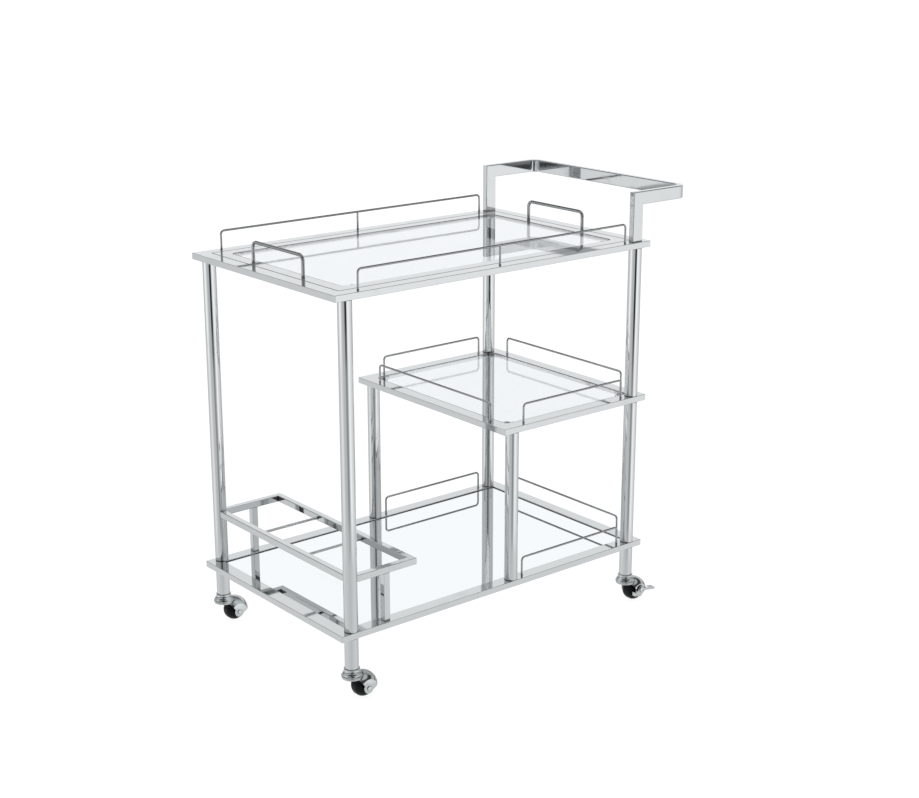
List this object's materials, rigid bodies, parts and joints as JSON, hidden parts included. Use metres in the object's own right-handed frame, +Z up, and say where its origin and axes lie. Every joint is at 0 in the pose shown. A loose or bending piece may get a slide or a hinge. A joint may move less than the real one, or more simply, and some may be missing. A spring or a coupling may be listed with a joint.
{
  "type": "bar cart",
  "caption": "Chrome bar cart on casters with a lift-off glass serving tray, a half-length glass shelf, a mirrored base, a bottle rack and a push handle.",
  "frame": {"origin": "on the floor, under the middle of the whole cart's bounding box", "axes": "+X from the bottle-rack end towards the push handle, +Y from front to back, +Z up"},
  "size_m": [0.8464, 0.4818, 0.84],
  "materials": {
    "chrome": "polished chrome plate on steel tube, sheet and wire",
    "clear_glass": "clear float glass with polished edges",
    "mirror": "silvered glass mirror",
    "black_wheel": "satin black moulded wheel",
    "bright_steel": "zinc plated steel",
    "clear_pads": "clear soft bumper"
  },
  "bodies": {
    "cart": {"top_frame": "chrome", "top_rail_front": "chrome", "top_rail_back": "chrome", "push_handle": "chrome", "shelf_frame": "chrome", "shelf_corner_tabs": "chrome", "shelf_glass": "clear_glass", "shelf_glass_pads": "clear_pads", "shelf_rail_front": "chrome", "shelf_rail_back": "chrome", "shelf_rail_rack_side": "chrome", "shelf_rail_handle_side": "chrome", "base_frame": "chrome", "base_mirror": "mirror", "base_mirror_pads": "clear_pads", "base_rail_front": "chrome", "base_rail_back": "chrome", "base_rail_handle_side": "chrome", "post_rack_front": "chrome", "post_rack_back": "chrome", "post_handle_front_lower": "chrome", "post_handle_front_upper": "chrome", "post_handle_back_lower": "chrome", "post_handle_back_upper": "chrome", "shelf_post_front": "chrome", "shelf_post_back": "chrome", "caster_legs": "chrome", "tube_plugs": "bright_steel", "joint_studs": "bright_steel", "bottle_rack_end_bar": "chrome", "bottle_rack_frame": "chrome", "bottle_rack_dividers": "chrome", "bottle_rack_leg_front": "chrome", "bottle_rack_leg_back": "chrome", "bottle_rack_leg_screws": "bright_steel", "caster_stems": "bright_steel", "caster_cups": "chrome", "caster_bearing_balls": "bright_steel"},
    "serving_tray": {"serving_tray_frame": "chrome", "serving_tray_glass": "clear_glass", "serving_tray_pads": "clear_pads", "tray_grip_rack_end": "chrome", "tray_grip_handle_end": "chrome"},
    "caster_rack_front": {"hood_rack_front": "chrome", "axle_rack_front": "bright_steel"},
    "wheel_rack_front": {"wheel_rack_front": "black_wheel"},
    "caster_rack_back": {"hood_rack_back": "chrome", "axle_rack_back": "bright_steel"},
    "wheel_rack_back": {"wheel_rack_back": "black_wheel"},
    "caster_handle_front": {"hood_handle_front": "chrome", "axle_handle_front": "bright_steel", "brake_rivet_front": "bright_steel"},
    "wheel_handle_front": {"wheel_handle_front": "black_wheel"},
    "brake_front": {"brake_lever_front": "chrome"},
    "caster_handle_back": {"hood_handle_back": "chrome", "axle_handle_back": "bright_steel", "brake_rivet_back": "bright_steel"},
    "wheel_handle_back": {"wheel_handle_back": "black_wheel"},
    "brake_back": {"brake_lever_back": "chrome"}
  },
  "joints": [
    {"name": "tray_lift", "type": "slide", "parent": "cart", "child": "serving_tray", "axis": [0, 0, 1], "range_m": [0, 0.15]},
    {"name": "swivel_rack_front", "type": "hinge", "parent": "cart", "child": "caster_rack_front", "pos_m": [-0.39475, -0.2141, 0.044], "axis": [0, 0, 1], "continuous": true},
    {"name": "roll_rack_front", "type": "hinge", "parent": "caster_rack_front", "child": "wheel_rack_front", "pos_m": [-0.37275, -0.2141, 0.02], "axis": [0, 1, 0], "continuous": true},
    {"name": "swivel_rack_back", "type": "hinge", "parent": "cart", "child": "caster_rack_back", "pos_m": [-0.39475, 0.2179, 0.044], "axis": [0, 0, 1], "continuous": true},
    {"name": "roll_rack_back", "type": "hinge", "parent": "caster_rack_back", "child": "wheel_rack_back", "pos_m": [-0.37275, 0.2179, 0.02], "axis": [0, 1, 0], "continuous": true},
    {"name": "swivel_handle_front", "type": "hinge", "parent": "cart", "child": "caster_handle_front", "pos_m": [0.28825, -0.2141, 0.044], "axis": [0, 0, 1], "continuous": true},
    {"name": "roll_handle_front", "type": "hinge", "parent": "caster_handle_front", "child": "wheel_handle_front", "pos_m": [0.31025, -0.2141, 0.02], "axis": [0, 1, 0], "continuous": true},
    {"name": "brake_press_front", "type": "hinge", "parent": "caster_handle_front", "child": "brake_front", "pos_m": [0.31125, -0.2391, 0.027], "axis": [0, 1, 0], "range_deg": [0, 22]},
    {"name": "swivel_handle_back", "type": "hinge", "parent": "cart", "child": "caster_handle_back", "pos_m": [0.28825, 0.2179, 0.044], "axis": [0, 0, 1], "continuous": true},
    {"name": "roll_handle_back", "type": "hinge", "parent": "caster_handle_back", "child": "wheel_handle_back", "pos_m": [0.31025, 0.2179, 0.02], "axis": [0, 1, 0], "continuous": true},
    {"name": "brake_press_back", "type": "hinge", "parent": "caster_handle_back", "child": "brake_back", "pos_m": [0.31125, 0.1929, 0.027], "axis": [0, 1, 0], "range_deg": [0, 22]}
  ]
}
